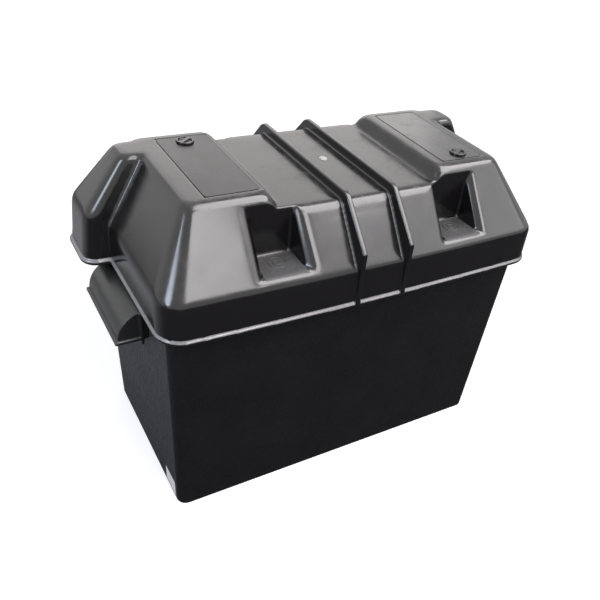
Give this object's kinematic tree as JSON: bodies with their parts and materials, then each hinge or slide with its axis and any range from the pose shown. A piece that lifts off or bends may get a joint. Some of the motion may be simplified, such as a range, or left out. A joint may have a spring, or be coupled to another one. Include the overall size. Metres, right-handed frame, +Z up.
{
  "type": "battery box",
  "caption": "Moulded battery box: drafted tub with end grips and floor ribs, removable divider, and a lift-off raised-end lid with cable outlets, corner pockets, strap channel and vent plugs.",
  "frame": {"origin": "middle of the tub's flat underside", "axes": "+X along the length towards the end with the divider, +Y across towards the side with the cable outlets, +Z up"},
  "size_m": [0.4068, 0.2194, 0.2905],
  "materials": {
    "tub": "fine-grained matte black polypropylene",
    "lid": "smooth glossy black polypropylene",
    "plug": "smooth semi-gloss black polypropylene"
  },
  "bodies": {
    "tub": {"tub": "tub", "grip_left": "tub", "grip_right": "tub"},
    "divider": {"divider": "tub"},
    "lid": {"lid": "lid"},
    "vent_plug_left": {"vent_plug_left": "plug"},
    "vent_plug_right": {"vent_plug_right": "plug"}
  },
  "joints": [
    {"name": "lid_lift", "type": "slide", "parent": "tub", "child": "lid", "axis": [0, 0, 1], "range_m": [0, 0.25]},
    {"name": "divider_slide", "type": "slide", "parent": "tub", "child": "divider", "axis": [0, 0, 1], "range_m": [0, 0.112]},
    {"name": "vent_plug_left_turn", "type": "hinge", "parent": "lid", "child": "vent_plug_left", "pos_m": [-0.106, 0.043, 0.2887], "axis": [0, 0, 1], "range_deg": [0, 90]},
    {"name": "vent_plug_right_turn", "type": "hinge", "parent": "lid", "child": "vent_plug_right", "pos_m": [0.115, -0.043, 0.2887], "axis": [0, 0, 1], "range_deg": [0, 90]}
  ]
}
